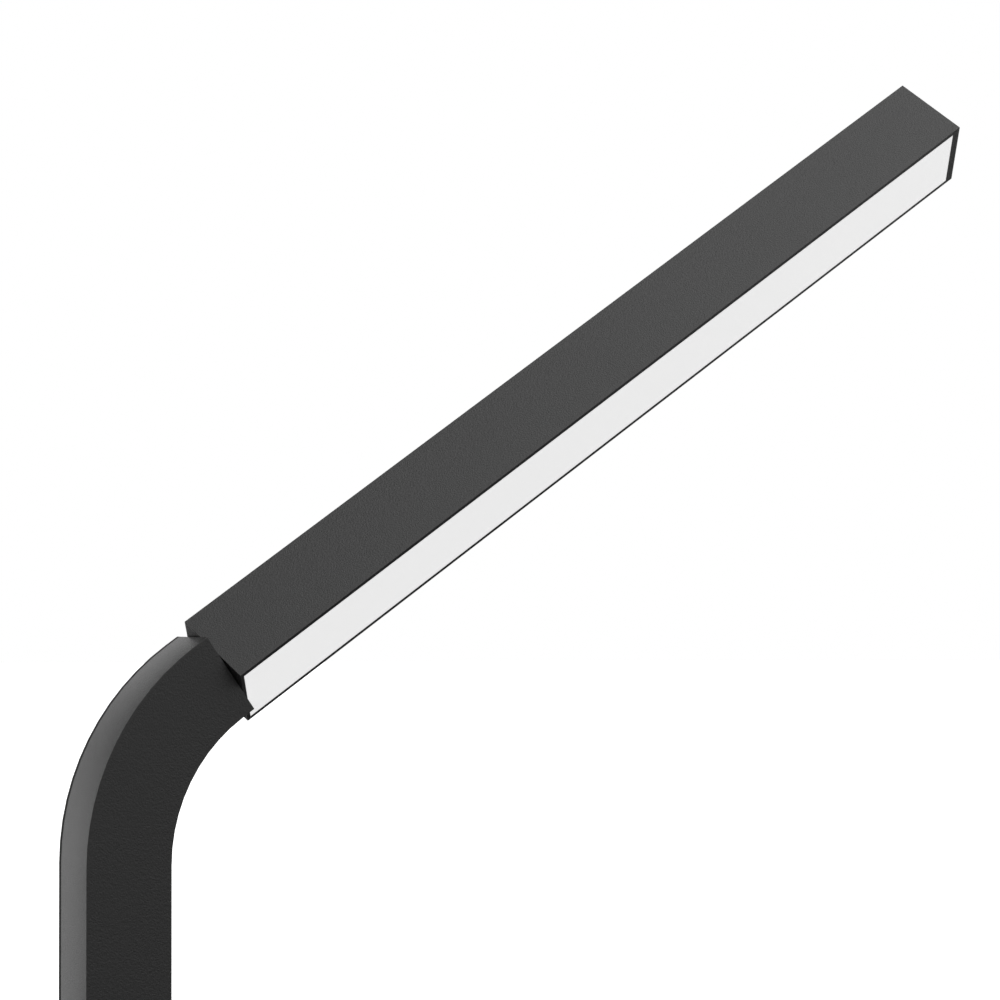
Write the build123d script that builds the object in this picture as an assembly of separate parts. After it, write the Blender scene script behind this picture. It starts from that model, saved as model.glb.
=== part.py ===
from build123d import *
from collections import namedtuple
import math
import os

# Floor lamp: a square post with one bend, and a square LED bar that swivels on the bend's end.
# Millimetres. The origin is on the floor, on the post's axis; +X is the way the arm leans, +Z is up.

Screw = namedtuple("Screw", "shank head socket")
m3 = Screw(shank=1.5, head=2.75, socket=1.0)
m4 = Screw(shank=2.0, head=3.75, socket=1.4)
m5 = Screw(shank=2.5, head=4.7, socket=1.7)
m8 = Screw(shank=4.0, head=8.0, socket=2.9)

# Gaps between pieces
thread_gap = 0.05
slide_gap = 0.1
running_gap = 0.05
body_gap = 0.3
# How far a cut runs past the face it starts from
cut_over = 1.0
# Socket depth as a share of the screw head's height
countersunk_socket = 0.8
pan_socket = 0.6

# Square post and its bend
section = 50.0
corner_radius = 0.3
post_wall = 2.5
bend_start = 1300.0
bend_radius = 125.0
bend_angle = 55.0
arm_stub = 8.5

# Base
plate_length = 300.0
plate_width = 300.0
plate_thickness = 10.0
plate_corner = 10.0
plate_edge = 1.0
plate_setback = 100.0
pad_thickness = 2.0
pad_margin = 3.0
block_height = 40.0
base_screw_spacing = 26.0
base_screw_length = 32.0
post_screw_length = 12.0
post_screw_rises = (10.0, 26.0)

# Cable gland in the rear of the post
gland_rise = 24.0
gland_bore = 3.3
gland_thread = 6.0
gland_body_radius = 8.5
gland_flange = 4.0
gland_collar = 8.0
gland_seal_wall = 1.4
gland_cap_length = 13.0
gland_cap_face = 4.8
gland_cap_flat = 0.425
gland_nut_radius = 9.0
gland_nut_length = 4.0

# Tray with the electrics, inside the post
tray_width = 36.0
tray_thickness = 1.5
tray_standoff = 7.5
tray_foot = 23.0
tray_top_margin = 6.0
tray_screw_spacing = 18.0
tray_screw_length = 8.0
pan_height = 2.0
terminal_rise = 46.0
terminal_length = 22.0
terminal_depth = 13.0
terminal_width = 28.0
terminal_pitch = 8.0
terminal_hole = 1.8
terminal_screw_radius = 1.5
terminal_screw_length = 4.0
terminal_slot_depth = 0.8
terminal_slot_width = 0.6
driver_rise = 80.0
driver_length = 160.0
driver_depth = 22.0
driver_width = 32.0
driver_wall = 1.5
driver_lug = 8.0
driver_lug_thickness = 2.5
driver_screw_spacing = 20.0
driver_screw_length = 5.5
circuit_board = 1.6
circuit_board_offset = 2.4
board_leg_width = 3.0
board_leg_length = 4.0
board_leg_inset = 10.0
choke_size = (8.0, 20.0, 30.0)
choke_places = (1 / 4, 1 / 2)
capacitor_radius = 5.0
capacitor_length = 10.0
capacitor_places = (1 / 12, 3 / 4)

# Leads held inside the lamp
lead_radius = 2.5
lead_entry = 5.0
lead_sweep_radius = 150.0
lead_end_straight = 4.0
lead_jog = 50.0
head_lead_radius = 2.0
head_lead_turn = 9.0

# Push switch in the front of the post
switch_height = 1050.0
switch_hole = 8.0
switch_flange = 10.0
switch_flange_thickness = 1.5
switch_depth = 19.0
switch_floor = 2.0
switch_chamber = 6.8
switch_lip = 3.5
latch_width = 4.0
latch_length = 3.5
latch_reach = 1.0
button_radius = 5.8
button_proud = 2.0
button_travel = 2.0
button_collar = 2.7
button_edge = 0.6
stem_radius = 1.5
bridge_thickness = 0.8
bridge_length = 8.4
bridge_width = 3.0
contact_spacing = 6.0
contact_thickness = 1.2
contact_width = 3.0
contact_tail = 7.0
contact_reach = 2.9
spring_radius = 5.0
spring_wire = 0.35
spring_turns = 5
connector_size = (18.0, 13.0, 13.0)
connector_lead_inset = 12.0

# Plug and bearing in the arm's end
plug_square = 8.0
plug_barrel_radius = 17.0
plug_length = 30.0
plug_screw_length = 6.0
plug_screw_spacing = 24.0
bush_wall = 2.0
washer_radius = 14.0
washer_thickness = 0.75
head_gap = 0.8
spindle_radius = 6.0
spindle_bore = 3.5
spindle_flange = 9.0
spindle_flange_thickness = 3.0
spindle_thread = 22.0
thrust_washer_radius = 13.0
thrust_washer_thickness = 1.5
disc_spring_radius = 12.0
disc_spring_thickness = 1.0
disc_spring_height = 2.2
nut_radius = 10.4
nut_thickness = 6.0
spindle_tail = 2.0
stop_radius = 17.5
stop_pin_radius = 1.5
stop_pin_tip = 2.6
stop_pin_seat = 8.0
groove_depth = 3.5
swivel_limit = 165.0

# Head
head_length = 600.0
head_wall = 3.0
head_roll = -41.5
near_cap = 2.3
far_cap = 6.1
web_height = -9.0
web_thickness = 2.0
port_spacing_y = 34.0
port_sink = 0.3
port_wall = 1.05
port_rib = 2.5
near_screw_length = 10.0
far_screw_length = 14.0
head_block_length = 40.0
block_screw_length = 12.0
block_screw_pitch = 16.0
board_width = 24.0
board_thickness = 1.6
board_end_gap = 1.5
board_screws = 5
board_screw_length = 3.0
board_screw_margin = 35.0
board_head_radius = 2.6
board_head_height = 1.2
led_size = (3.5, 2.8, 0.8)
led_pitch = 20.0
led_row_spacing = 14.0
lead_hole_distance = 70.0
lead_connector_size = (8.0, 8.0, 3.5)
diffuser_thickness = 2.5
diffuser_leg = 1.4
diffuser_leg_height = 5.1
diffuser_barb = 1.0
diffuser_rib = 1.2
diffuser_rib_height = 4.0

# Sizes that follow from those above
half = section / 2
bore_half = half - post_wall
plate_top = pad_thickness + plate_thickness
block_top = plate_top + block_height
tray_rear = bore_half - tray_standoff - tray_thickness
driver_bottom = block_top + driver_rise
driver_top = driver_bottom + driver_length
driver_rear = tray_rear - driver_depth
driver_middle = tray_rear - driver_depth / 2
switch_rear = half - switch_depth
connector_middle = switch_rear - connector_lead_inset
bend = math.radians(bend_angle)
arm_direction = Vector(math.sin(bend), 0, math.cos(bend))
arm_up = Vector(-math.cos(bend), 0, math.sin(bend))
bend_end = Vector(bend_radius * (1 - math.cos(bend)), 0, bend_start + bend_radius * math.sin(bend))
arm_end = bend_end + arm_direction * arm_stub
bush_radius = spindle_radius + running_gap + bush_wall
stack_rear = plug_length + running_gap + thrust_washer_thickness + disc_spring_height + nut_thickness
spindle_rear = stack_rear + spindle_tail
far_inner = head_length - far_cap
web_top = web_height
web_bottom = web_height - web_thickness
port_hole = m3.shank + thread_gap
port_radius = port_hole + port_wall
port_y = port_spacing_y / 2
port_z = port_radius - port_sink - web_bottom
head_inner = half - head_wall
board_top = web_bottom
board_bottom = board_top - board_thickness

# The arm's frame: X out along the arm, Z up in the plane of the bend, origin at the arm's end
arm_frame = Plane(origin=arm_end, x_dir=arm_direction, z_dir=arm_up).location
# The head's frame: X along the bar from its near end; before the roll, the light faces down, to -Z
head_frame = arm_frame * Pos(head_gap, 0, 0) * Rot(head_roll, 0, 0)


# Plain shapes

def block(xs, ys, zs):
    spans = (xs, ys, zs)
    centre = [(low + high) / 2 for low, high in spans]
    return Pos(*centre) * Box(*[high - low for low, high in spans])


def about(middle, size):
    return (middle - size / 2, middle + size / 2)


def rod(axis, radius, span, at=(0.0, 0.0)):
    middle = (span[0] + span[1]) / 2
    body = Cylinder(radius, span[1] - span[0])
    if axis == "x":
        return Pos(middle, *at) * Rot(0, 90, 0) * body
    if axis == "y":
        return Pos(at[0], middle, at[1]) * Rot(90, 0, 0) * body
    return Pos(*at, middle) * body


def ring(axis, outer, inner, span, at=(0.0, 0.0)):
    return rod(axis, outer, span, at) - rod(axis, inner, span, at)


def hexagon_x(radius, span):
    outline = Plane.YZ.offset(span[0]) * RegularPolygon(radius, 6)
    return extrude(outline, span[1] - span[0])


def bar(outline, span):
    return extrude(Plane.YZ.offset(span[0]) * outline, span[1] - span[0])


def strip(ys, zs):
    return Pos((ys[0] + ys[1]) / 2, (zs[0] + zs[1]) / 2) * Rectangle(ys[1] - ys[0], zs[1] - zs[0])


# Screws: head flush with Z = 0 or seated on it, shank down -Z

def countersunk(size, length, gap=0.0):
    cone = size.head - size.shank
    head = Pos(0, 0, -cone / 2) * Cone(size.shank + gap, size.head + gap, cone)
    return head + rod("z", size.shank + gap, (-length - gap, -cone))


def countersunk_screw(size, length):
    cone = size.head - size.shank
    socket = extrude(RegularPolygon(size.socket, 6), -countersunk_socket * cone)
    return countersunk(size, length) - socket


def pan_screw(size, length, head_radius, head_height):
    head = rod("z", head_radius, (0, head_height))
    socket = extrude(Pos(0, 0, head_height) * RegularPolygon(size.socket, 6), -pan_socket * head_height)
    return head + rod("z", size.shank, (-length, 0)) - socket


def placed(shape, places):
    return [place * shape for place in places]


# A round lead along straight runs joined by tangent arcs

def lead(points, radii, radius):
    path = FilletPolyline(*points, radius=radii)
    solid = sweep(sections=(path ^ 0) * Circle(radius), path=path)
    share = solid.volume / (math.pi * radius ** 2 * path.length)
    bends = [round(r, 1) for r in radii]
    print(f"lead: length {path.length:.1f} mm, radii {bends}, volume share {share:.4f}")
    return solid


# A coil spring along +X: quarter turns of a helix, each as two arcs that share a tangent

def coil_spring(mean, wire, length, turns):
    pitch = (length - 2 * wire) / turns
    steps = 4 * turns

    def point(step):
        angle = math.pi / 2 * step
        return Vector(wire + pitch * step / 4, mean * math.cos(angle), mean * math.sin(angle))

    def tangent(step):
        angle = math.pi / 2 * step
        rise = pitch / (2 * math.pi)
        return Vector(rise, -mean * math.sin(angle), mean * math.cos(angle)).normalized()

    arcs = []
    for step in range(steps):
        start, end = point(step), point(step + 1)
        leave, arrive = tangent(step), tangent(step + 1)
        chord, both = end - start, leave + arrive
        a = both.dot(both) - 4
        b = -2 * chord.dot(both)
        reach = (-b - math.sqrt(b * b - 4 * a * chord.dot(chord))) / (2 * a)
        first, second = start + leave * reach, end - arrive * reach
        joint = (first + second) * 0.5
        arcs.append(TangentArc(start, joint, tangent=leave))
        arcs.append(TangentArc(joint, end, tangent=second - first))
    path = Wire([arc.edge() for arc in arcs])
    profile = Plane(origin=point(0), z_dir=tangent(0)) * Circle(wire)
    print(f"spring: pitch {pitch:.2f} mm, gap between turns {pitch - 2 * wire:.2f} mm")
    return sweep(sections=profile, path=path)


# Where each set of screws sits

def base_screw_places():
    reach = base_screw_spacing / 2
    corners = [(x, y) for x in (-reach, reach) for y in (-reach, reach)]
    return [Pos(x, y, pad_thickness) * Rot(180, 0, 0) for x, y in corners]


def post_screw_places():
    sides = [Pos(0, side * half, plate_top + rise) * Rot(-90 * side, 0, 0)
             for side in (-1, 1) for rise in post_screw_rises]
    return sides


def tray_screw_places():
    x = tray_rear - tray_foot / 2
    return [Pos(x, side * tray_screw_spacing / 2, block_top + tray_thickness) for side in (-1, 1)]


def driver_screw_places():
    x = tray_rear - driver_lug_thickness
    heights = (driver_bottom - driver_lug / 2, driver_top + driver_lug / 2)
    sides = (-driver_screw_spacing / 2, driver_screw_spacing / 2)
    return [Pos(x, y, z) * Rot(0, -90, 0) for y in sides for z in heights]


def plug_screw_places():
    x = -arm_stub / 2
    return [arm_frame * Pos(x, side * plug_screw_spacing / 2, -half) * Rot(180, 0, 0) for side in (-1, 1)]


def port_centres():
    return [(y, z) for y in (-port_y, port_y) for z in (-port_z, port_z)]


def near_screw_places():
    return [Pos(0, y, z) * Rot(0, -90, 0) for y, z in port_centres()]


def far_screw_places():
    return [Pos(head_length, y, z) * Rot(0, 90, 0) for y, z in port_centres()]


def block_screw_places():
    first = near_cap + stop_pin_seat + m4.head + body_gap
    return [Pos(first + step * block_screw_pitch, 0, half) for step in (0, 1)]


def board_screw_places():
    first = near_cap + lead_hole_distance + board_screw_margin
    pitch = (far_inner - board_screw_margin - first) / (board_screws - 1)
    return [Pos(first + i * pitch, 0, board_bottom) * Rot(180, 0, 0) for i in range(board_screws)]


# Base

def base_plate():
    outline = RectangleRounded(plate_length, plate_width, plate_corner)
    plate = extrude(outline, plate_thickness)
    plate = chamfer(plate.edges().group_by(Axis.Z)[-1], plate_edge)
    plate = Pos(plate_length / 2 - plate_setback, 0, pad_thickness) * plate
    return plate - placed(countersunk(m8, base_screw_length, slide_gap), base_screw_places())


def base_pad():
    size = (plate_length - 2 * pad_margin, plate_width - 2 * pad_margin)
    outline = RectangleRounded(*size, plate_corner - pad_margin)
    return Pos(plate_length / 2 - plate_setback, 0, 0) * extrude(outline, pad_thickness)


def base_screws():
    return placed(countersunk_screw(m8, base_screw_length), base_screw_places())


def foot_block():
    reach = bore_half - slide_gap
    body = block((-reach, reach), (-reach, reach), (plate_top, block_top))
    body -= placed(countersunk(m8, base_screw_length, slide_gap), base_screw_places())
    body -= placed(countersunk(m5, post_screw_length, thread_gap), post_screw_places())
    hole = rod("z", m4.shank + thread_gap, (-tray_screw_length - cut_over, 0))
    return body - placed(hole, tray_screw_places())


def post_screws():
    return placed(countersunk_screw(m5, post_screw_length), post_screw_places())


# Post

def post_tube():
    path = Polyline((0, 0, plate_top), (0, 0, bend_start))
    path += TangentArc((0, 0, bend_start), bend_end, tangent=(0, 0, 1))
    path += Line(bend_end, arm_end)
    outline = RectangleRounded(section, section, corner_radius) - Rectangle(2 * bore_half, 2 * bore_half)
    tube = sweep(sections=Plane.XY.offset(plate_top) * outline, path=path)
    tube -= placed(countersunk(m5, post_screw_length, thread_gap), post_screw_places())
    tube -= placed(countersunk(m3, plug_screw_length, thread_gap), plug_screw_places())
    tube -= rod("x", switch_hole, (0, section), (0, switch_height))
    return tube - rod("x", gland_thread + slide_gap, (-section, 0), (0, block_top + gland_rise))


# Cable gland: it looks back, along -X

def gland(shape):
    return Pos(-half, 0, block_top + gland_rise) * Rot(0, 0, 180) * shape


def gland_body():
    tail = -post_wall - gland_nut_length
    collar_end = gland_flange + gland_collar
    body = rod("x", gland_thread, (tail, collar_end)) + hexagon_x(gland_body_radius, (0, gland_flange))
    pocket = rod("x", gland_bore + gland_seal_wall + thread_gap, (gland_flange, collar_end))
    return gland(body - rod("x", gland_bore, (tail, collar_end)) - pocket)


def gland_seal():
    span = (gland_flange, gland_flange + gland_collar - thread_gap)
    return gland(ring("x", gland_bore + gland_seal_wall, gland_bore, span))


def gland_cap():
    start = gland_flange + body_gap
    end = start + gland_cap_length
    body = rod("x", gland_body_radius, (start, end))
    body = fillet(body.edges().group_by(Axis.X)[-1], gland_body_radius - gland_thread)
    body &= hexagon_x((gland_body_radius - gland_cap_flat) / math.cos(math.pi / 6), (start, end))
    body -= rod("x", gland_thread + thread_gap, (start, end - gland_cap_face))
    return gland(body - rod("x", gland_bore, (start, end)))


def gland_nut():
    span = (-post_wall - gland_nut_length, -post_wall)
    return gland(hexagon_x(gland_nut_radius, span) - rod("x", gland_thread + thread_gap, span))


# Tray, terminal block and driver

def driver_tray():
    top = driver_top + driver_lug + tray_top_margin
    front = tray_rear + tray_thickness
    ys = (-tray_width / 2, tray_width / 2)
    upright = block((tray_rear, front), ys, (block_top, top))
    foot = block((tray_rear - tray_foot, front), ys, (block_top, block_top + tray_thickness))
    holes = placed(rod("z", m4.shank + slide_gap, (-section, section)), tray_screw_places())
    lug_holes = placed(rod("z", m3.shank + thread_gap, (-section, section)), driver_screw_places())
    return upright + foot - holes - lug_holes


def tray_screws():
    return placed(pan_screw(m4, tray_screw_length, m4.head, pan_height), tray_screw_places())


def terminal_columns():
    return [index * terminal_pitch for index in (-1, 0, 1)]


def terminal_span():
    return (block_top + terminal_rise, block_top + terminal_rise + terminal_length)


def terminal_screw_shapes(radius, length):
    low, high = terminal_span()
    face = tray_rear - terminal_depth
    heights = (low + terminal_length / 4, high - terminal_length / 4)
    return [rod("x", radius, (face, face + length), (y, z)) for y in terminal_columns() for z in heights]


def terminal_block():
    zs = terminal_span()
    face = tray_rear - terminal_depth
    body = block((face, tray_rear), (-terminal_width / 2, terminal_width / 2), zs)
    body -= [rod("z", terminal_hole, zs, (tray_rear - terminal_depth / 2, y)) for y in terminal_columns()]
    return body - terminal_screw_shapes(terminal_screw_radius + thread_gap, terminal_screw_length)


def terminal_screws():
    low, high = terminal_span()
    face = tray_rear - terminal_depth
    slot_xs = (face, face + terminal_slot_depth)
    slot = block(slot_xs, (-terminal_width, terminal_width), about(0, terminal_slot_width))
    heights = (low + terminal_length / 4, high - terminal_length / 4)
    slots = [Pos(0, 0, z) * slot for z in heights]
    shapes = terminal_screw_shapes(terminal_screw_radius, terminal_screw_length)
    return [shape - slots for shape in shapes]


def driver_case():
    zs = (driver_bottom, driver_top)
    ys = (-driver_width / 2, driver_width / 2)
    rim = driver_rear + driver_wall
    body = block((rim, tray_rear), ys, zs)
    lug_zs = (zs[0] - driver_lug, zs[1] + driver_lug)
    lugs = block((tray_rear - driver_lug_thickness, tray_rear), ys, lug_zs)
    inner_ys = (ys[0] + driver_wall, ys[1] - driver_wall)
    inner_zs = (zs[0] + driver_wall, zs[1] - driver_wall)
    body = body + lugs - block((rim, tray_rear - driver_wall), inner_ys, inner_zs)
    body -= placed(rod("z", m3.shank + slide_gap, (-driver_screw_length, cut_over)), driver_screw_places())
    lead_zs = (zs[1] - lead_entry, zs[1] + cut_over)
    return body - rod("z", lead_radius + slide_gap, lead_zs, (driver_middle, 0))


def driver_cover():
    ys = (-driver_width / 2, driver_width / 2)
    return block((driver_rear, driver_rear + driver_wall), ys, (driver_bottom, driver_top))


def driver_board():
    x = tray_rear - driver_wall - circuit_board_offset
    y = driver_width / 2 - driver_wall - body_gap
    low = driver_bottom + driver_wall + body_gap
    high = driver_top - driver_wall - body_gap
    body = block((x - circuit_board, x), (-y, y), (low, high))
    leg_xs = (x, tray_rear - driver_wall)
    legs = [block(leg_xs, about(side * y / 2, board_leg_width), about(z, board_leg_length))
            for side in (-1, 1) for z in (low + board_leg_inset, high - board_leg_inset)]
    thick, wide, tall = choke_size
    chokes = [block((x - circuit_board - thick, x), about(0, wide),
                    about(low + place * driver_length, tall))
              for place in choke_places]
    can_xs = (x - circuit_board - capacitor_length, x)
    cans = [rod("x", capacitor_radius, can_xs, (side * y / 2, low + place * driver_length))
            for side in (-1, 1) for place in capacitor_places]
    return body + legs + chokes + cans


def driver_screws():
    return placed(pan_screw(m3, driver_screw_length, m3.head, pan_height), driver_screw_places())


def driver_input_lead():
    low = terminal_span()[1]
    x = tray_rear - terminal_depth / 2
    return rod("z", lead_radius, (low, driver_bottom), (x, 0))


def switch_lead():
    low = driver_top - lead_entry
    high = switch_height - connector_size[2] / 2
    points = [(driver_middle, 0, low), (driver_middle, 0, high - 2 * lead_jog)]
    points += [(connector_middle, 0, high - lead_jog), (connector_middle, 0, high)]
    return lead(points, [lead_sweep_radius] * 2, lead_radius)


def post_cable():
    corner = Vector(0, 0, bend_start + bend_radius * math.tan(bend / 2))
    end = arm_end - arm_direction * (spindle_rear + body_gap)
    last_run = (end - corner).length
    turn = (last_run - lead_end_straight) / math.tan(bend / 2)
    low = switch_height + connector_size[2] / 2
    points = [(connector_middle, 0, low), (connector_middle, 0, low + lead_jog)]
    points += [(0, 0, low + 2 * lead_jog), corner, end]
    return lead(points, [lead_sweep_radius, lead_sweep_radius, turn], lead_radius)


# Push switch: it looks forward, along +X

def in_switch(shape):
    return Pos(0, 0, switch_height) * shape


def contact_blade(side, gap=0.0):
    ys = about(side * contact_spacing / 2, contact_thickness + 2 * gap)
    zs = about(0, contact_width + 2 * gap)
    return block((switch_rear - contact_tail - gap, contact_tip()), ys, zs)


def bridge_rear():
    return contact_tip() + body_gap + button_travel


def contact_tip():
    return switch_rear + switch_floor + contact_reach


def switch_housing():
    front = half + switch_flange_thickness
    lip = front - switch_lip
    body = rod("x", switch_hole - slide_gap, (switch_rear, half)) + rod("x", switch_flange, (half, front))
    ys_reach = switch_hole + latch_reach
    latch_xs = (bore_half - slide_gap - latch_length, bore_half - slide_gap)
    body += block(latch_xs, (-ys_reach, ys_reach), about(0, latch_width))
    body -= rod("x", button_radius + body_gap, (lip, front))
    body -= rod("x", switch_chamber, (switch_rear + switch_floor, lip))
    return in_switch(body - [contact_blade(side, thread_gap) for side in (-1, 1)])


def switch_contacts():
    return [in_switch(contact_blade(side)) for side in (-1, 1)]


def switch_connector():
    length, width, height = connector_size
    xs = (switch_rear - length, switch_rear)
    body = block(xs, (-width / 2, width / 2), (-height / 2, height / 2))
    return in_switch(body - [contact_blade(side, slide_gap) for side in (-1, 1)])


def collar_span():
    front = half + switch_flange_thickness - switch_lip - body_gap
    return (front - button_collar, front)


def switch_button():
    rear, front = collar_span()
    tip = half + switch_flange_thickness + button_proud
    cap = rod("x", button_radius, (rear, tip))
    cap = fillet(cap.edges().group_by(Axis.X)[-1], button_edge)
    collar = rod("x", switch_chamber - body_gap, (rear, front))
    stem = rod("x", stem_radius, (bridge_rear() + bridge_thickness, rear))
    return in_switch(cap + collar + stem)


def bridge_contact():
    xs = (bridge_rear(), bridge_rear() + bridge_thickness)
    return in_switch(block(xs, about(0, bridge_length), about(0, bridge_width)))


def switch_spring():
    start = switch_rear + switch_floor
    length = collar_span()[0] - start
    return in_switch(Pos(start, 0, 0) * coil_spring(spring_radius, spring_wire, length, spring_turns))


# Plug and bearing in the arm's end

def stop_groove():
    width = stop_pin_radius + body_gap
    span = (-groove_depth, 0)
    groove = ring("x", stop_radius + width, stop_radius - width, span)
    land = math.radians(180 - swivel_limit) - math.asin(width / stop_radius)
    reach = section
    wedge = Polyline((0, 0), (reach * math.sin(land), -reach * math.cos(land)),
                     (-reach * math.sin(land), -reach * math.cos(land)), close=True)
    return groove - bar(make_face(wedge), span)


def arm_plug():
    reach = bore_half - slide_gap
    body = block((-plug_square, 0), (-reach, reach), (-reach, reach))
    body += rod("x", plug_barrel_radius, (-plug_length, 0))
    body -= rod("x", bush_radius + thread_gap, (-plug_length, 0))
    return arm_frame * (body - stop_groove()) - placed(
        countersunk(m3, plug_screw_length, thread_gap), plug_screw_places())


def plug_screws():
    return placed(countersunk_screw(m3, plug_screw_length), plug_screw_places())


def swivel_bush():
    return arm_frame * ring("x", bush_radius, spindle_radius + running_gap, (-plug_length, 0))


def friction_washer():
    return arm_frame * ring("x", washer_radius, spindle_radius + body_gap, (0, washer_thickness))


# Spindle and its stack behind the plug; these turn with the head

def on_head(shape):
    return head_frame * Pos(-head_gap, 0, 0) * shape


def swivel_spindle():
    flange_start = head_gap + near_cap
    spindle_end = flange_start + spindle_flange_thickness + spindle_thread
    body = rod("x", spindle_radius, (-spindle_rear, spindle_end))
    body += rod("x", spindle_flange, (flange_start, flange_start + spindle_flange_thickness))
    return on_head(body - rod("x", spindle_bore, (-section * 2, section * 2)))


def thrust_washer():
    front = -plug_length - running_gap
    span = (front - thrust_washer_thickness, front)
    return on_head(ring("x", thrust_washer_radius, spindle_radius + slide_gap, span))


def disc_spring():
    front = -plug_length - running_gap - thrust_washer_thickness
    rear = front - disc_spring_height
    inner = spindle_radius + slide_gap
    outline = Polyline((front, disc_spring_radius), (front - disc_spring_thickness, disc_spring_radius),
                       (rear, inner), (rear + disc_spring_thickness, inner), close=True)
    return on_head(revolve(make_face(outline), Axis.X))


def spindle_nut():
    rear = -stack_rear
    span = (rear, rear + nut_thickness)
    return on_head(hexagon_x(nut_radius, span) - rod("x", spindle_radius + thread_gap, span))


def stop_pin():
    span = (-stop_pin_tip, head_gap + near_cap + stop_pin_seat)
    return on_head(rod("x", stop_pin_radius, span, (0, stop_radius)))


# Head

def head_outline():
    return RectangleRounded(section, section, corner_radius)


def ports():
    outlines = []
    for y, z in port_centres():
        side = math.copysign(1, y)
        outlines.append(Pos(y, z) * Circle(port_radius))
        outlines.append(strip(sorted((y, side * head_inner)), about(z, port_rib)))
    return outlines


def head_channel():
    inner = head_inner
    outline = head_outline()
    outline -= strip((-inner, inner), (web_top, inner))
    outline -= strip((-inner, inner), (-half, web_bottom))
    for side in (-1, 1):
        rib = sorted((side * (inner - diffuser_rib), side * inner))
        rib_low = -half + diffuser_thickness
        outline += strip(rib, (rib_low, rib_low + diffuser_rib_height))
    outline += ports()
    outline -= [Pos(y, z) * Circle(port_hole) for y, z in port_centres()]
    channel = bar(outline, (near_cap, far_inner))
    channel -= placed(countersunk(m4, block_screw_length, thread_gap), block_screw_places())
    channel -= rod("z", head_lead_radius + body_gap, (web_bottom, web_top), (lead_hole_distance, 0))
    hole = rod("z", m3.shank + thread_gap, (-board_thickness - web_thickness - cut_over, cut_over))
    return head_frame * (channel - placed(hole, board_screw_places()))


def near_end_cap():
    cap = bar(head_outline(), (0, near_cap))
    cap -= rod("x", spindle_radius + body_gap, (0, near_cap))
    cap -= rod("x", stop_pin_radius + thread_gap, (0, near_cap), (0, stop_radius))
    return head_frame * (cap - placed(countersunk(m3, near_screw_length, thread_gap), near_screw_places()))


def far_end_cap():
    cap = bar(head_outline(), (far_inner, head_length))
    return head_frame * (cap - placed(countersunk(m3, far_screw_length, thread_gap), far_screw_places()))


def near_cap_screws():
    return [head_frame * s for s in placed(countersunk_screw(m3, near_screw_length), near_screw_places())]


def far_cap_screws():
    return [head_frame * s for s in placed(countersunk_screw(m3, far_screw_length), far_screw_places())]


def head_block():
    start = near_cap
    end = near_cap + head_block_length
    step = port_z - port_radius - slide_gap
    wide = head_inner - slide_gap
    narrow = port_y - port_radius - slide_gap
    body = block((start, end), (-wide, wide), (web_top + slide_gap, step))
    body += block((start, end), (-narrow, narrow), (step, head_inner))
    body -= rod("x", spindle_flange + thread_gap, (start, start + spindle_flange_thickness))
    thread_end = start + spindle_flange_thickness + spindle_thread
    body -= rod("x", spindle_radius + thread_gap, (start, thread_end))
    body -= rod("x", spindle_bore, (start, end))
    body -= rod("x", stop_pin_radius + thread_gap, (start, start + stop_pin_seat), (0, stop_radius))
    body -= placed(countersunk(m4, block_screw_length, thread_gap), block_screw_places())
    return head_frame * body


def block_screws():
    return [head_frame * s for s in placed(countersunk_screw(m4, block_screw_length), block_screw_places())]


def led_board():
    xs = (near_cap + board_end_gap, far_inner - board_end_gap)
    body = block(xs, about(0, board_width), (board_bottom, board_top))
    body -= rod("z", head_lead_radius + body_gap, (board_bottom, board_top), (lead_hole_distance, 0))
    hole = rod("z", m3.shank + slide_gap, (-board_thickness - cut_over, cut_over))
    return head_frame * (body - placed(hole, board_screw_places()))


def leds():
    length, width, height = led_size
    start = near_cap + led_pitch / 2
    count = int((far_inner - near_cap) / led_pitch)
    chip = block((0, length), about(0, width), (board_bottom - height, board_bottom))
    rows = (-led_row_spacing / 2, led_row_spacing / 2)
    places = [(start + i * led_pitch - length / 2, y) for i in range(count) for y in rows]
    return [head_frame * Pos(x, y, 0) * chip for x, y in places]


def board_screw_set():
    screw = pan_screw(m3, board_screw_length, board_head_radius, board_head_height)
    return [head_frame * s for s in placed(screw, board_screw_places())]


def lead_connector():
    length, width, height = lead_connector_size
    body = block(about(lead_hole_distance, length), about(0, width), (board_bottom - height, board_bottom))
    return head_frame * body


def head_lead():
    start = -spindle_rear - head_gap
    points = [(start, 0, 0), (lead_hole_distance, 0, 0), (lead_hole_distance, 0, board_bottom)]
    return head_frame * lead(points, [head_lead_turn], head_lead_radius)


def diffuser():
    wide = head_inner - slide_gap
    leg_outer = head_inner - diffuser_rib - 2 * slide_gap
    inside = -half + diffuser_thickness
    top = inside + diffuser_leg_height
    barb_low = inside + diffuser_rib_height + slide_gap
    outline = strip((-wide, wide), (-half, inside))
    for side in (-1, 1):
        outline += strip(sorted((side * (leg_outer - diffuser_leg), side * leg_outer)), (inside, top))
        outline += strip(sorted((side * leg_outer, side * (leg_outer + diffuser_barb))), (barb_low, top))
    return head_frame * bar(outline, (near_cap, far_inner))


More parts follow.
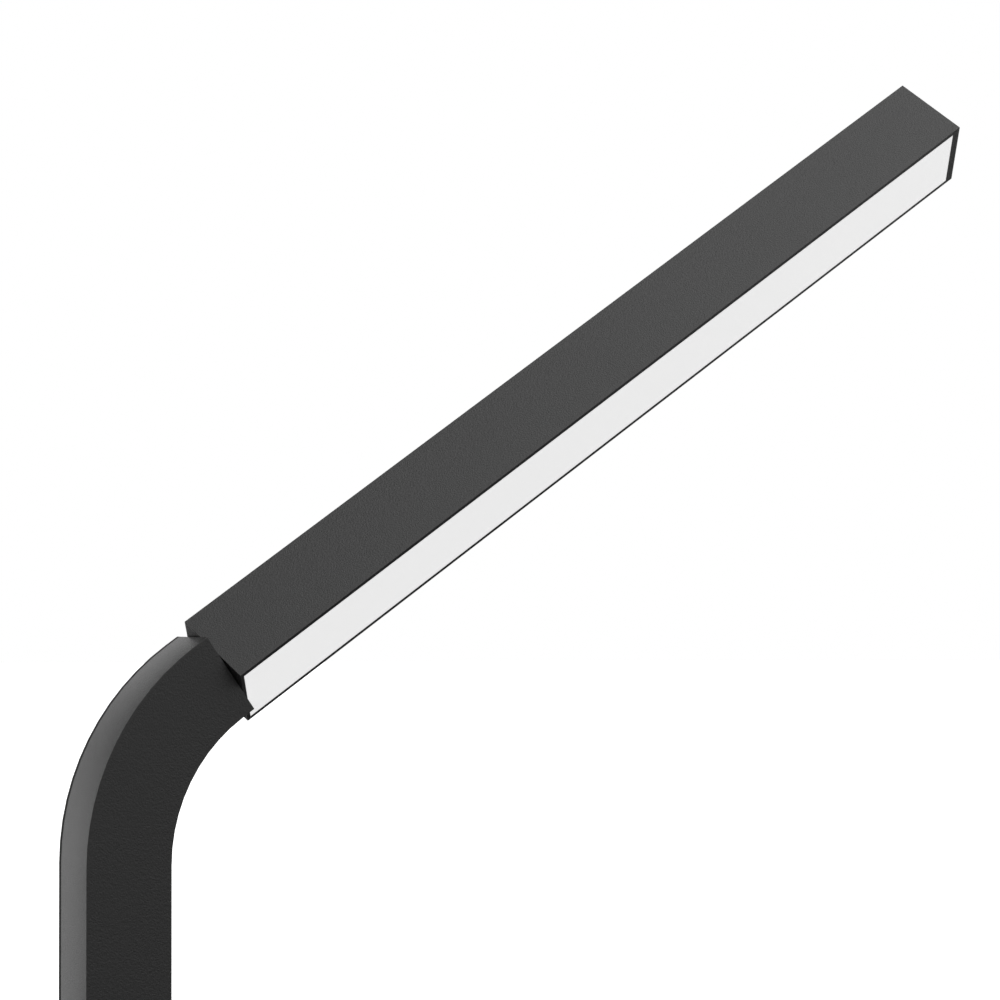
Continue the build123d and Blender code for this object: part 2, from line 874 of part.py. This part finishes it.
nodes = {
    "base_plate": base_plate(),
    "base_pad": base_pad(),
    "base_screws": base_screws(),
    "foot_block": foot_block(),
    "post_tube": post_tube(),
    "post_screws": post_screws(),
    "gland_body": gland_body(),
    "gland_seal": gland_seal(),
    "gland_cap": gland_cap(),
    "gland_nut": gland_nut(),
    "driver_tray": driver_tray(),
    "tray_screws": tray_screws(),
    "terminal_block": terminal_block(),
    "terminal_screws": terminal_screws(),
    "driver_case": driver_case(),
    "driver_cover": driver_cover(),
    "driver_board": driver_board(),
    "driver_screws": driver_screws(),
    "driver_input_lead": driver_input_lead(),
    "switch_lead": switch_lead(),
    "post_cable": post_cable(),
    "switch_housing": switch_housing(),
    "switch_contacts": switch_contacts(),
    "switch_connector": switch_connector(),
    "switch_button": switch_button(),
    "bridge_contact": bridge_contact(),
    "switch_spring": switch_spring(),
    "arm_plug": arm_plug(),
    "plug_screws": plug_screws(),
    "swivel_bush": swivel_bush(),
    "friction_washer": friction_washer(),
    "swivel_spindle": swivel_spindle(),
    "thrust_washer": thrust_washer(),
    "disc_spring": disc_spring(),
    "spindle_nut": spindle_nut(),
    "stop_pin": stop_pin(),
    "head_channel": head_channel(),
    "near_end_cap": near_end_cap(),
    "near_cap_screws": near_cap_screws(),
    "far_end_cap": far_end_cap(),
    "far_cap_screws": far_cap_screws(),
    "head_block": head_block(),
    "block_screws": block_screws(),
    "led_board": led_board(),
    "leds": leds(),
    "board_screws": board_screw_set(),
    "lead_connector": lead_connector(),
    "head_lead": head_lead(),
    "diffuser": diffuser(),
}

os.makedirs("parts", exist_ok=True)
for name, shape in nodes.items():
    solids = shape if isinstance(shape, list) else [shape]
    whole = Compound(children=[solid for item in solids for solid in item.solids()])
    export_step(whole, f"parts/{name}.step")
print(f"{len(nodes)} nodes, arm end at {[round(v, 2) for v in arm_end]}")
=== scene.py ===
import math

import bmesh
import bpy
from mathutils import Matrix, Vector


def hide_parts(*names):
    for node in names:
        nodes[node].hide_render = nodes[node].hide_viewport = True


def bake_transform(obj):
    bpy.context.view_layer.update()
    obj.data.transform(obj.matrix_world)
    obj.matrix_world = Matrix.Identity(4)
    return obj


# floor lamp: square black post with one bend, and a square light bar that turns on its own axis
for name in ("Cube", "Light", "Camera"):
    if name in bpy.data.objects:
        bpy.data.objects.remove(bpy.data.objects[name])

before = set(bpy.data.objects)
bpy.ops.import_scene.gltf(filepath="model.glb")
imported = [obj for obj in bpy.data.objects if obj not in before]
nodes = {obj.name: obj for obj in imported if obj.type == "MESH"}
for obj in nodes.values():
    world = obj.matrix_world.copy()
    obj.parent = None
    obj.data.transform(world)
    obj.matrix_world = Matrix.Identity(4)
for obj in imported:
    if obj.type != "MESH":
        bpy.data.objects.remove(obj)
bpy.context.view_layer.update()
print("frame loaded:", len(nodes), "nodes")

# the photograph's view, in metres and degrees
cameraSetup = {
    "place": (-0.55096, -1.63161, 1.44794),
    "turn": 25.939,    # clockwise from +Y, seen from above
    "rise": 1.919,     # a little upwards
    "roll": -0.159,
    "lens": 108.39,
    "sensor": 36,
    "reach": 300,
}


def makeCamera(setup):
    data = bpy.data.cameras.new("camera")
    data.lens = setup["lens"]
    data.sensor_width = setup["sensor"]
    data.clip_end = setup["reach"]
    view = bpy.data.objects.new("camera", data)
    bpy.context.scene.collection.objects.link(view)
    turn = Matrix.Rotation(math.radians(-setup["turn"]), 4, "Z")
    rise = Matrix.Rotation(math.radians(90 + setup["rise"]), 4, "X")
    roll = Matrix.Rotation(math.radians(setup["roll"]), 4, "Z")
    view.matrix_world = Matrix.Translation(setup["place"]) @ turn @ rise @ roll
    bpy.context.scene.camera = view


makeCamera(cameraSetup)
print("camera placed")


# shader groups: every one reads Object coordinates and gives values that change over the surface
def newGroup(name, inputs, outputs):
    group = bpy.data.node_groups.new(name, "ShaderNodeTree")
    for label, kind in inputs:
        group.interface.new_socket(label, in_out="INPUT", socket_type=kind)
    for label, kind in outputs:
        group.interface.new_socket(label, in_out="OUTPUT", socket_type=kind)
    return group, group.nodes.new("NodeGroupInput"), group.nodes.new("NodeGroupOutput")


def noiseNode(tree, vector, scale, detail=2.0, roughness=0.5):
    texture = tree.nodes.new("ShaderNodeTexNoise")
    texture.inputs["Detail"].default_value = detail
    texture.inputs["Roughness"].default_value = roughness
    tree.links.new(vector, texture.inputs["Vector"])
    if isinstance(scale, (int, float)):
        texture.inputs["Scale"].default_value = scale
    else:
        tree.links.new(scale, texture.inputs["Scale"])
    return texture.outputs["Fac"]


def mathNode(tree, operation, first, second=0.0, third=0.0):
    node = tree.nodes.new("ShaderNodeMath")
    node.operation = operation
    for socket, value in zip(node.inputs, (first, second, third)):
        if isinstance(value, (int, float)):
            socket.default_value = value
        else:
            tree.links.new(value, socket)
    return node.outputs[0]


def rampNode(tree, value, span, result):
    ramp = tree.nodes.new("ShaderNodeMapRange")
    ramp.interpolation_type = "SMOOTHSTEP"
    ramp.inputs["From Min"].default_value, ramp.inputs["From Max"].default_value = span
    ramp.inputs["To Min"].default_value, ramp.inputs["To Max"].default_value = result
    tree.links.new(value, ramp.inputs["Value"])
    return ramp.outputs[0]


def mixNode(tree, first, second, share):
    return mathNode(tree, "MULTIPLY_ADD", first, share, mathNode(tree, "MULTIPLY", second, 1 - share))


noise = {
    "middle": 0.5,
    "widen": 4.0,      # noise stays near its middle, so a colour's swing is widened
    "darkest": 0.1,    # least share of a colour that is left
}


# a value moved up and down by a share of the noise
def variedNode(tree, amount, share, value):
    return mathNode(tree, "MULTIPLY_ADD", mathNode(tree, "SUBTRACT", amount, noise["middle"]), share, value)


# colour made darker and lighter by a share of itself
def shadedColour(tree, colour, amount, spread):
    swing = mathNode(tree, "MULTIPLY", mathNode(tree, "SUBTRACT", amount, noise["middle"]), noise["widen"])
    gain = mathNode(tree, "MAXIMUM", mathNode(tree, "MULTIPLY_ADD", swing, spread, 1.0), noise["darkest"])
    scale = tree.nodes.new("ShaderNodeVectorMath")
    scale.operation = "SCALE"
    tree.links.new(colour, scale.inputs[0])
    tree.links.new(gain, scale.inputs["Scale"])
    return scale.outputs[0]


surfaceInputs = [("Colour", "NodeSocketColor"), ("Spread", "NodeSocketFloat"),
                 ("Roughness", "NodeSocketFloat"), ("Scale", "NodeSocketFloat")]
surfaceOutputs = [("Colour", "NodeSocketColor"), ("Roughness", "NodeSocketFloat"),
                  ("Height", "NodeSocketFloat")]


# powder coat: fused grains a millimetre or so across, with finer ones between them, and on the post
# the slight crown of a drawn tube's front and rear, which bow out along Y; the rear is duller along one edge
coatSkin = {
    "coarseDetail": 1.5,
    "fineRatio": 2.7,          # finer grains for each coarse one along a line
    "fineShare": 0.4,
    "slowScale": 7.0,          # broad, faint unevenness, to the metre
    "slowShare": 0.15,
    "roughSwing": 0.18,
    "rearFacing": 0.5,         # the tube's rear is where Z exceeds X in the normal by more than this
    "dullFrom": (0.0204, 0.0214),    # where along Y it turns duller, in metres
}


def makeCoatGroup(skin):
    inputs = surfaceInputs + [("Crown", "NodeSocketFloat"), ("Dull", "NodeSocketFloat")]
    group, start, end = newGroup("coatGrain", inputs, surfaceOutputs)
    source = group.nodes.new("ShaderNodeTexCoord")
    place = source.outputs["Object"]
    coarse = noiseNode(group, place, start.outputs["Scale"], skin["coarseDetail"])
    fine = noiseNode(group, place, mathNode(group, "MULTIPLY", start.outputs["Scale"], skin["fineRatio"]))
    slow = noiseNode(group, place, skin["slowScale"])
    grain = mixNode(group, fine, coarse, skin["fineShare"])
    amount = mixNode(group, slow, grain, skin["slowShare"])
    colour = shadedColour(group, start.outputs["Colour"], amount, start.outputs["Spread"])
    group.links.new(colour, end.inputs["Colour"])
    across = group.nodes.new("ShaderNodeSeparateXYZ")
    group.links.new(place, across.inputs[0])
    facing = group.nodes.new("ShaderNodeSeparateXYZ")
    group.links.new(source.outputs["Normal"], facing.inputs[0])
    lean = mathNode(group, "SUBTRACT", facing.outputs["Z"], facing.outputs["X"])
    rear = mathNode(group, "GREATER_THAN", lean, skin["rearFacing"])
    edge = mathNode(group, "MULTIPLY", rampNode(group, across.outputs["Y"], skin["dullFrom"], (0, 1)), rear)
    rough = variedNode(group, fine, skin["roughSwing"], start.outputs["Roughness"])
    dulled = mathNode(group, "MULTIPLY_ADD", edge, start.outputs["Dull"], rough)
    group.links.new(dulled, end.inputs["Roughness"])
    bow = mathNode(group, "MULTIPLY", across.outputs["Y"], across.outputs["Y"])
    height = mathNode(group, "SUBTRACT", grain, mathNode(group, "MULTIPLY", bow, start.outputs["Crown"]))
    group.links.new(height, end.inputs["Height"])
    return group


# moulded plastic and rubber: a fine spark-eroded skin
mouldSkin = {
    "fineRatio": 1.9,
    "fineShare": 0.5,
    "slowScale": 25.0,
    "roughSwing": 0.12,
}


def makeMouldGroup(skin):
    group, start, end = newGroup("mouldSkin", surfaceInputs, surfaceOutputs)
    place = group.nodes.new("ShaderNodeTexCoord").outputs["Object"]
    cells = group.nodes.new("ShaderNodeTexVoronoi")
    group.links.new(place, cells.inputs["Vector"])
    group.links.new(start.outputs["Scale"], cells.inputs["Scale"])
    fine = noiseNode(group, place, mathNode(group, "MULTIPLY", start.outputs["Scale"], skin["fineRatio"]))
    slow = noiseNode(group, place, skin["slowScale"])
    colour = shadedColour(group, start.outputs["Colour"], slow, start.outputs["Spread"])
    group.links.new(colour, end.inputs["Colour"])
    rough = variedNode(group, fine, skin["roughSwing"], start.outputs["Roughness"])
    group.links.new(rough, end.inputs["Roughness"])
    height = mixNode(group, fine, cells.outputs["Distance"], skin["fineShare"])
    group.links.new(height, end.inputs["Height"])
    return group


# machined or drawn metal: long thin lines along one direction, set by Stretch
metalSkin = {
    "lineDetail": 3.0,
    "lineRoughness": 0.6,
    "blotchScale": 60.0,
    "blotchShare": 0.35,
    "roughSwing": 0.25,
}


def makeMetalGroup(skin):
    inputs = surfaceInputs + [("Stretch", "NodeSocketVector")]
    group, start, end = newGroup("metalLines", inputs, surfaceOutputs)
    place = group.nodes.new("ShaderNodeTexCoord").outputs["Object"]
    stretch = group.nodes.new("ShaderNodeVectorMath")
    stretch.operation = "MULTIPLY"
    group.links.new(place, stretch.inputs[0])
    group.links.new(start.outputs["Stretch"], stretch.inputs[1])
    scale = start.outputs["Scale"]
    lines = noiseNode(group, stretch.outputs[0], scale, skin["lineDetail"], skin["lineRoughness"])
    blotch = noiseNode(group, place, skin["blotchScale"])
    amount = mixNode(group, blotch, lines, skin["blotchShare"])
    colour = shadedColour(group, start.outputs["Colour"], amount, start.outputs["Spread"])
    group.links.new(colour, end.inputs["Colour"])
    rough = variedNode(group, lines, skin["roughSwing"], start.outputs["Roughness"])
    group.links.new(rough, end.inputs["Roughness"])
    group.links.new(lines, end.inputs["Height"])
    return group


groups = {
    "coat": makeCoatGroup(coatSkin),
    "mould": makeMouldGroup(mouldSkin),
    "metal": makeMetalGroup(metalSkin),
}
print("shader groups built:", ", ".join(groups))


pureWhite = (1, 1, 1, 1)


def newMaterial(name):
    material = bpy.data.materials.new(name)
    material.use_nodes = True
    return material, material.node_tree, material.node_tree.nodes["Principled BSDF"]


# one of the groups above, its three outputs led to the surface shader, and the plain values set on it
def addSurface(tree, shader, kind, values):
    surface = tree.nodes.new("ShaderNodeGroup")
    surface.node_tree = groups[kind]
    surface.inputs["Colour"].default_value = (*values["colour"], 1)
    surface.inputs["Spread"].default_value = values["spread"]
    surface.inputs["Roughness"].default_value = values["roughness"]
    surface.inputs["Scale"].default_value = values["scale"]
    if "stretch" in values:
        surface.inputs["Stretch"].default_value = values["stretch"]
    if "crown" in values:
        surface.inputs["Crown"].default_value = values["crown"] / values["relief"]
        surface.inputs["Dull"].default_value = values["dull"]
    bump = tree.nodes.new("ShaderNodeBump")
    bump.inputs["Strength"].default_value = values["bump"]
    bump.inputs["Distance"].default_value = values["relief"]
    tree.links.new(surface.outputs["Height"], bump.inputs["Height"])
    tree.links.new(surface.outputs["Colour"], shader.inputs["Base Color"])
    tree.links.new(surface.outputs["Roughness"], shader.inputs["Roughness"])
    tree.links.new(bump.outputs["Normal"], shader.inputs["Normal"])
    for key, socket in (("specular", "Specular IOR Level"), ("metallic", "Metallic")):
        if key in values:
            shader.inputs[socket].default_value = values[key]


def skinned(name, kind, values):
    material, tree, shader = newMaterial(name)
    addSurface(tree, shader, kind, values)
    return material


def dress(material, names):
    for name in names:
        for slot in nodes[name].material_slots:
            slot.material = material


# black fine-grained powder coat: post, light bar and base plate
coat = {
    "colour": (0.019, 0.019, 0.019),
    "spread": 0.25,
    "roughness": 0.345,
    "scale": 1100,     # grains to the metre
    "bump": 1.0,
    "relief": 0.0004,
    "specular": 0.5,
    "crown": 0.0,      # bow of the tube's front and rear: its depth over the distance squared
    "dull": 0.0,       # roughness added along the rear's edge
}
tubeCoat = {**coat, "relief": 0.00035, "crown": 2.7, "dull": 0.65}
dress(skinned("powderCoat", "coat", coat), ["head_channel", "near_end_cap", "far_end_cap", "base_plate"])
dress(skinned("powderCoatTube", "coat", tubeCoat), ["post_tube"])

# blackened steel screws, turned and slightly polished on the head
blackScrew = {
    "colour": (0.045, 0.045, 0.047),
    "spread": 0.25,
    "roughness": 0.34,
    "scale": 1800,
    "stretch": (1, 1, 0.15),
    "bump": 0.25,
    "relief": 0.00004,
    "metallic": 0.85,
}
dress(skinned("blackenedSteel", "metal", blackScrew), [
    "post_screws", "plug_screws", "near_cap_screws", "far_cap_screws", "block_screws"])

# rubber mat under the plate, and the gland's seal
matRubber = {
    "colour": (0.022, 0.022, 0.022),
    "spread": 0.2,
    "roughness": 0.82,
    "scale": 1400,
    "bump": 0.5,
    "relief": 0.0001,
    "specular": 0.35,
}
dress(skinned("matRubber", "mould", matRubber), ["base_pad", "gland_seal"])

# machined aluminium of the blocks and the tray
machinedAluminium = {
    "colour": (0.77, 0.775, 0.785),
    "spread": 0.06,
    "roughness": 0.34,
    "scale": 2600,
    "stretch": (1, 0.06, 1),
    "bump": 0.2,
    "relief": 0.00003,
    "metallic": 1.0,
}
dress(skinned("machinedAluminium", "metal", machinedAluminium), [
    "foot_block", "driver_tray", "arm_plug", "head_block"])

# plain steel of the hidden screws, the spindle and its stack
plainSteel = {
    "colour": (0.56, 0.56, 0.57),
    "spread": 0.1,
    "roughness": 0.3,
    "scale": 3000,
    "stretch": (0.1, 1, 1),
    "bump": 0.2,
    "relief": 0.00003,
    "metallic": 1.0,
}
dress(skinned("plainSteel", "metal", plainSteel), [
    "base_screws", "tray_screws", "driver_screws", "board_screws", "terminal_screws", "swivel_spindle",
    "thrust_washer", "disc_spring", "spindle_nut", "stop_pin", "switch_spring"])

# oil-filled bronze of the bush and the switch's contacts
bearingBronze = {
    "colour": (0.58, 0.37, 0.17),
    "spread": 0.14,
    "roughness": 0.4,
    "scale": 2200,
    "stretch": (1, 1, 1),
    "bump": 0.3,
    "relief": 0.00004,
    "metallic": 1.0,
}
dress(skinned("bearingBronze", "metal", bearingBronze), [
    "swivel_bush", "switch_contacts", "bridge_contact"])

# moulded plastics, each with its own colour and skin
blackPlastic = {
    "colour": (0.024, 0.024, 0.025),
    "spread": 0.12,
    "roughness": 0.5,
    "scale": 2400,
    "bump": 0.3,
    "relief": 0.00006,
    "specular": 0.5,
}
dress(skinned("blackPlastic", "mould", blackPlastic), [
    "gland_body", "gland_cap", "gland_nut", "switch_housing", "friction_washer"])

buttonPlastic = {
    "colour": (0.04, 0.04, 0.041),
    "spread": 0.08,
    "roughness": 0.36,
    "scale": 3200,
    "bump": 0.15,
    "relief": 0.00004,
    "specular": 0.5,
}
dress(skinned("buttonPlastic", "mould", buttonPlastic), ["switch_button"])

whitePlastic = {
    "colour": (0.78, 0.78, 0.76),
    "spread": 0.03,
    "roughness": 0.45,
    "scale": 2400,
    "bump": 0.2,
    "relief": 0.00005,
    "specular": 0.5,
}
dress(skinned("whitePlastic", "mould", whitePlastic), [
    "terminal_block", "driver_case", "driver_cover", "switch_connector", "lead_connector"])

leadSheath = {
    "colour": (0.035, 0.035, 0.036),
    "spread": 0.15,
    "roughness": 0.55,
    "scale": 1500,
    "bump": 0.2,
    "relief": 0.00005,
    "specular": 0.45,
}
dress(skinned("leadSheath", "mould", leadSheath), [
    "driver_input_lead", "switch_lead", "post_cable", "head_lead"])

# circuit boards: green mask on the driver's board, white mask on the light's
greenBoard = {
    "colour": (0.02, 0.13, 0.055),
    "spread": 0.3,
    "roughness": 0.3,
    "scale": 420,
    "bump": 0.25,
    "relief": 0.00004,
    "specular": 0.5,
}
dress(skinned("greenBoard", "mould", greenBoard), ["driver_board"])

whiteBoard = {
    "colour": (0.8, 0.8, 0.79),
    "spread": 0.04,
    "roughness": 0.32,
    "scale": 420,
    "bump": 0.2,
    "relief": 0.00003,
    "specular": 0.5,
}
dress(skinned("whiteBoard", "mould", whiteBoard), ["led_board"])

lightChip = {
    "colour": (0.85, 0.72, 0.25),
    "spread": 0.1,
    "roughness": 0.25,
    "scale": 3000,
    "bump": 0.1,
    "relief": 0.00003,
    "specular": 0.5,
}
dress(skinned("lightChip", "mould", lightChip), ["leds"])

# opal strip: an even white that lets some light into itself
opal = {
    "colour": (0.82, 0.82, 0.82),
    "spread": 0.012,
    "roughness": 0.42,
    "scale": 2600,
    "bump": 0.12,
    "relief": 0.00003,
    "specular": 0.4,
    "depth": 0.0015,   # how far light spreads inside, in metres
    "share": 0.25,     # how much of the surface lets it in
    "glow": 0.64,      # the light bar is dimly lit
}


def opalStrip(values):
    material, tree, shader = newMaterial("opalStrip")
    addSurface(tree, shader, "mould", values)
    shader.inputs["Subsurface Weight"].default_value = values["share"]
    shader.inputs["Subsurface Radius"].default_value = (1, 1, 1)
    shader.inputs["Subsurface Scale"].default_value = values["depth"]
    shader.inputs["Emission Color"].default_value = pureWhite
    shader.inputs["Emission Strength"].default_value = values["glow"]
    return material


dress(opalStrip(opal), ["diffuser"])
print("materials placed on", len(nodes), "nodes")


# the button's spring: a copy of its mesh takes its place, with its transform baked in
def makeSpring():
    spring = bpy.data.objects.new("spring", nodes["switch_spring"].data.copy())
    bpy.context.scene.collection.objects.link(spring)
    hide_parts("switch_spring")
    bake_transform(spring)


makeSpring()

# studio: pale floor, and a room whose left wall is bright low down and whose front wall is bright high up
walls = {
    "left": {"side": (-0.87, 0.5, 0.0), "fade": (0.1, 0.95), "level": 1.22, "top": 0.25},
    "front": {"side": (0.25, -0.97, 0.0), "fade": (-0.1, 0.6), "level": 0.38, "top": 1.25},
    "right": {"side": (0.97, 0.26, 0.0), "fade": (0.45, 0.85), "level": 0.3, "top": 0.3},
}
studio = {
    "wallRise": (0.05, 0.5),       # sines of the angles where a wall goes from its level to its top
    "floorRadius": 70,
    "floorSides": 96,
    "floorRoughness": 0.9,
    "floorSpecular": 0.1,
    "floorSeen": 0.9,              # the floor's white for the camera
    "floorBounce": 0.1,            # and what it gives back as light
    "lift": (0.18, 0.85),          # added for the camera near the lamp and far away
    "liftReach": (1.0, 8.0),
    "mirrorReach": (3.5, 7.0),     # where the floor starts to show the walls in glossy surfaces
}


def vectorNode(tree, operation, first, second=(0, 0, 0)):
    node = tree.nodes.new("ShaderNodeVectorMath")
    node.operation = operation
    tree.links.new(first, node.inputs[0])
    node.inputs[1].default_value = second
    return node.outputs


# the room's brightness by direction from the lamp; a wall's fade holds the cosines where it is dark and lit
def makeRoomGroup(walls, wallRise):
    inputs, outputs = [("Vector", "NodeSocketVector")], [("Value", "NodeSocketFloat")]
    group, start, end = newGroup("roomWalls", inputs, outputs)
    direction = start.outputs["Vector"]
    flattened = vectorNode(group, "MULTIPLY", direction, (1, 1, 0))[0]
    unit = vectorNode(group, "NORMALIZE", flattened)[0]
    rise = group.nodes.new("ShaderNodeSeparateXYZ")
    group.links.new(vectorNode(group, "NORMALIZE", direction)[0], rise.inputs[0])
    total = 0.0
    for wall in walls.values():
        facing = vectorNode(group, "DOT_PRODUCT", unit, wall["side"])["Value"]
        across = rampNode(group, facing, wall["fade"], (0, 1))
        upward = rampNode(group, rise.outputs["Z"], wallRise, (wall["level"], wall["top"]))
        total = mathNode(group, "MULTIPLY_ADD", across, upward, total)
    group.links.new(total, end.inputs["Value"])
    return group


# 1 for what the camera sees, straight on or through something clear
def seenNode(tree, rays):
    return mathNode(tree, "MAXIMUM", rays["Is Camera Ray"], rays["Is Transmission Ray"])


def addRoom(tree, roomGroup, vector):
    room = tree.nodes.new("ShaderNodeGroup")
    room.node_tree = roomGroup
    tree.links.new(vector, room.inputs[0])
    return room.outputs[0]


def makeWorld(roomGroup):
    world = bpy.data.worlds.new("studio")
    bpy.context.scene.world = world
    world.use_nodes = True
    tree = world.node_tree
    background = tree.nodes["Background"]
    background.inputs["Color"].default_value = pureWhite
    rays = tree.nodes.new("ShaderNodeLightPath").outputs
    room = addRoom(tree, roomGroup, tree.nodes.new("ShaderNodeTexCoord").outputs["Generated"])
    strength = mathNode(tree, "MAXIMUM", room, seenNode(tree, rays))
    tree.links.new(strength, background.inputs["Strength"])


def makeFloor(values, roomGroup):
    mesh = bpy.data.meshes.new("floor")
    form = bmesh.new()
    bmesh.ops.create_circle(form, cap_ends=True, segments=values["floorSides"], radius=values["floorRadius"])
    form.to_mesh(mesh)
    form.free()
    floor = bpy.data.objects.new("floor", mesh)
    bpy.context.scene.collection.objects.link(floor)
    material, tree, shader = newMaterial("paleFloor")
    material.cycles.emission_sampling = "NONE"
    shader.inputs["Roughness"].default_value = values["floorRoughness"]
    shader.inputs["Specular IOR Level"].default_value = values["floorSpecular"]
    rays = tree.nodes.new("ShaderNodeLightPath").outputs
    seen = seenNode(tree, rays)
    shown, given = values["floorSeen"], values["floorBounce"]
    tree.links.new(mathNode(tree, "MULTIPLY_ADD", seen, shown - given, given), shader.inputs["Base Color"])
    place = tree.nodes.new("ShaderNodeTexCoord").outputs["Object"]
    distance = vectorNode(tree, "LENGTH", place)["Value"]
    lift = rampNode(tree, distance, values["liftReach"], values["lift"])
    far = rampNode(tree, distance, values["mirrorReach"], (0, 1))
    room = mathNode(tree, "MULTIPLY", addRoom(tree, roomGroup, place), far)
    mirrored = mathNode(tree, "MULTIPLY", rays["Is Glossy Ray"], room)
    shader.inputs["Emission Color"].default_value = pureWhite
    tree.links.new(mathNode(tree, "MULTIPLY_ADD", seen, lift, mirrored), shader.inputs["Emission Strength"])
    mesh.materials.append(material)


roomGroup = makeRoomGroup(walls, studio["wallRise"])
makeWorld(roomGroup)
makeFloor(studio, roomGroup)

# soft lights: place, point aimed at, width and height in metres, power in watts
lights = {
    "overhead": {"place": (0.8, -0.6, 3.5), "aim": (0.4, 0.0, 1.6), "size": (2.4, 2.4), "watts": 13.8},
    "back": {"place": (0.25, 2.8, 2.4), "aim": (0.0, 0.0, 1.4), "size": (1.4, 0.8), "watts": 3.5},
}


def makeLight(name, setup):
    data = bpy.data.lights.new(name, "AREA")
    data.shape = "RECTANGLE"
    data.size, data.size_y = setup["size"]
    data.energy = setup["watts"]
    lamp = bpy.data.objects.new(name, data)
    bpy.context.scene.collection.objects.link(lamp)
    place, aim = Vector(setup["place"]), Vector(setup["aim"])
    turn = (aim - place).to_track_quat("-Z", "Y").to_matrix().to_4x4()
    lamp.matrix_world = Matrix.Translation(place) @ turn
    lamp.visible_camera = False


for name, setup in lights.items():
    makeLight(name, setup)

bpy.context.scene.view_settings.view_transform = "Standard"
print("studio lit by", len(lights), "lights and the room")
